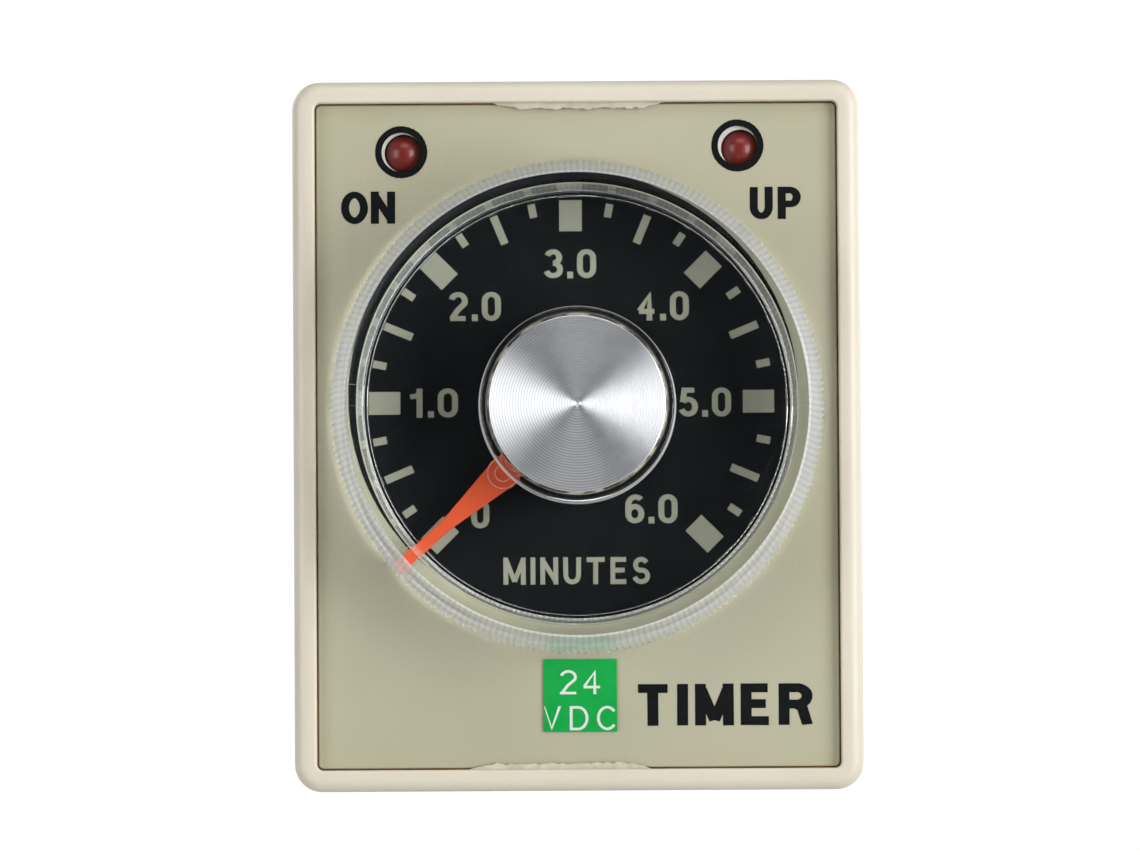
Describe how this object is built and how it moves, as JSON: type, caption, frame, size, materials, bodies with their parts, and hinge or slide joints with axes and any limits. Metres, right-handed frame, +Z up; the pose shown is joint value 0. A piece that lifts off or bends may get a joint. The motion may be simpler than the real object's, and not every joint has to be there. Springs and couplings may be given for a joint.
{
  "type": "plug-in analogue timer relay",
  "caption": "Square-fronted plug-in timer relay with a large clear dial knob, a red pointer, two indicator lamps and an octal pin base.",
  "frame": {"origin": "centre of the octal plug's seat face, on the plug's axis", "axes": "+Y out along the plug, so the dial faces -Y, and +Z up, opposite the plug's key"},
  "size_m": [0.04, 0.0808, 0.05],
  "materials": {
    "ivory_case": "lightly textured moulded ivory plastic",
    "printed_plate": "beige printed plate with a black dial and dark lettering",
    "green_label": "printed green sticker",
    "white_label": "printed white sticker",
    "clear_knob": "clear moulded plastic, finely grooved round the grip",
    "spun_cap": "turned face with fine rings",
    "red_pointer": "orange-red moulded plastic",
    "shaft_brass": "turned brass",
    "plated_metal": "nickel plate",
    "steel_parts": "zinc-plated steel",
    "wafer_board": "brown laminate with a printed track",
    "circuit_board": "green laminate with solder resist",
    "red_lamp": "red translucent epoxy",
    "black_moulding": "black moulded epoxy",
    "black_base": "black phenolic moulding",
    "blue_moulding": "blue moulded plastic",
    "white_moulding": "white moulded plastic",
    "yellow_moulding": "yellow dipped film capacitor",
    "capacitor_sleeve": "blue shrunk sleeve",
    "resistor_coat": "tan coat with colour bands",
    "pin_metal": "nickel-plated brass",
    "smoke_cover": "smoke-grey clear plastic",
    "copper_wire": "enamelled copper wire",
    "contact_copper": "springy copper alloy",
    "contact_brass": "stamped brass"
  },
  "bodies": {
    "case": {"housing": "ivory_case", "face_plate": "printed_plate", "voltage_label": "green_label", "wiring_label": "white_label", "pot_bushing": "plated_metal", "pot_case": "steel_parts", "pot_wafer": "wafer_board", "pot_washer": "steel_parts", "pot_nut": "plated_metal", "front_board": "circuit_board", "main_board": "circuit_board", "rear_board": "circuit_board", "led_on": "red_lamp", "led_up": "red_lamp", "timer_ic": "black_moulding", "trimmer_body": "blue_moulding", "smoothing_capacitor": "capacitor_sleeve", "timing_capacitor": "white_moulding", "film_capacitor": "yellow_moulding", "driver_transistor": "black_moulding", "freewheel_diode": "black_moulding", "power_resistor": "resistor_coat", "octal_base": "black_base", "pin_1": "pin_metal", "pin_2": "pin_metal", "pin_3": "pin_metal", "pin_4": "pin_metal", "pin_5": "pin_metal", "pin_6": "pin_metal", "pin_7": "pin_metal", "pin_8": "pin_metal", "relay_base": "black_moulding", "relay_cover": "smoke_cover", "relay_bobbin": "white_moulding", "relay_winding": "copper_wire", "relay_core": "steel_parts", "relay_yoke": "steel_parts", "relay_fixed_nc_1": "contact_brass", "relay_fixed_nc_2": "contact_brass", "relay_fixed_no_1": "contact_brass", "relay_fixed_no_2": "contact_brass", "relay_return_spring": "plated_metal"},
    "dial": {"knob": "clear_knob", "knob_cap": "spun_cap", "pointer": "red_pointer", "pot_shaft": "shaft_brass", "pot_wiper": "plated_metal"},
    "trimmer": {"trimmer_rotor": "white_moulding"},
    "armature": {"relay_armature": "steel_parts", "relay_contact_block": "white_moulding", "relay_blade_1": "contact_copper", "relay_blade_2": "contact_copper"}
  },
  "joints": [
    {"name": "dial_turn", "type": "hinge", "parent": "case", "child": "dial", "pos_m": [0, -0.061, 0.002], "axis": [0, 1, 0], "range_deg": [-8, 272]},
    {"name": "trimmer_turn", "type": "hinge", "parent": "case", "child": "trimmer", "pos_m": [0.0113, -0.0474, 0.0153], "axis": [0, 1, 0], "range_deg": [-105, 105]},
    {"name": "relay_pull_in", "type": "hinge", "parent": "case", "child": "armature", "pos_m": [0.003, -0.0227, 0], "axis": [0, 0, -1], "range_deg": [0, 3.5], "stiffness_Nm_per_rad": 0.005, "springref_deg": -2.86}
  ]
}
